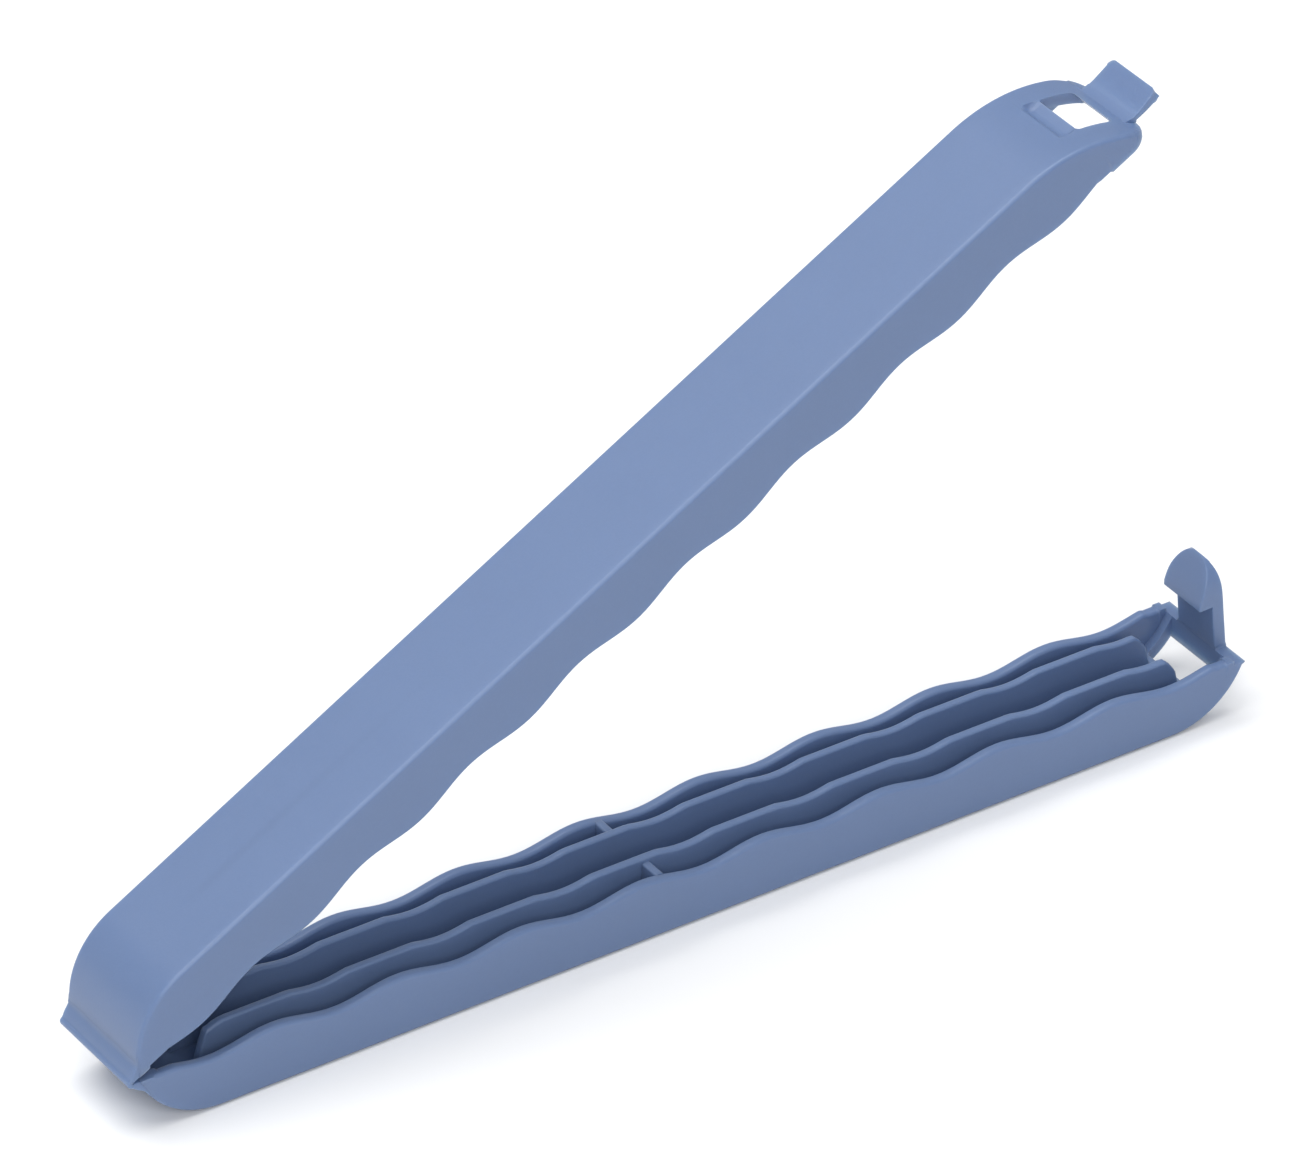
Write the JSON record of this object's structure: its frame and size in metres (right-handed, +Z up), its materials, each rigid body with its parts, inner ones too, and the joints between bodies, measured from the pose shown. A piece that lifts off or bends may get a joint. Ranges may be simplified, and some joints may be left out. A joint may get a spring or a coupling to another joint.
{
  "type": "bag clip",
  "caption": "Long narrow bag-closing clip with wavy sealing rims, a film hinge at one end and a snap catch at the other.",
  "frame": {"origin": "on the flat lower face, at the middle of the clip's length and width", "axes": "+X from the hinge towards the catch, +Y across the clip, +Z up from the lower arm towards the upper arm"},
  "size_m": [0.1046, 0.0102, 0.0601],
  "materials": {
    "clip_plastic": "satin, fine grained, moulded polypropylene"
  },
  "bodies": {
    "lower_arm": {"lower_base": "clip_plastic", "lower_front_wall": "clip_plastic", "lower_rear_wall": "clip_plastic", "lower_front_rib": "clip_plastic", "lower_rear_rib": "clip_plastic", "front_cross_web": "clip_plastic", "rear_cross_web": "clip_plastic", "lower_hinge_leaf": "clip_plastic", "hinge_fold": "clip_plastic"},
    "upper_arm": {"upper_cover": "clip_plastic", "upper_front_wall": "clip_plastic", "upper_rear_wall": "clip_plastic", "upper_middle_rib": "clip_plastic", "thumb_tab": "clip_plastic", "upper_hinge_leaf": "clip_plastic"},
    "catch": {"catch_post": "clip_plastic", "catch_hook": "clip_plastic"}
  },
  "joints": [
    {"name": "arm_hinge", "type": "hinge", "parent": "lower_arm", "child": "upper_arm", "pos_m": [-0.05192, 0, 0.00505], "axis": [0, -1, 0], "range_deg": [-29.5, 150.5]},
    {"name": "catch_flex", "type": "hinge", "parent": "lower_arm", "child": "catch", "pos_m": [0.05158, 0, 0.0045], "axis": [0, 1, 0], "range_deg": [0, 15], "stiffness_Nm_per_rad": 0.3}
  ]
}
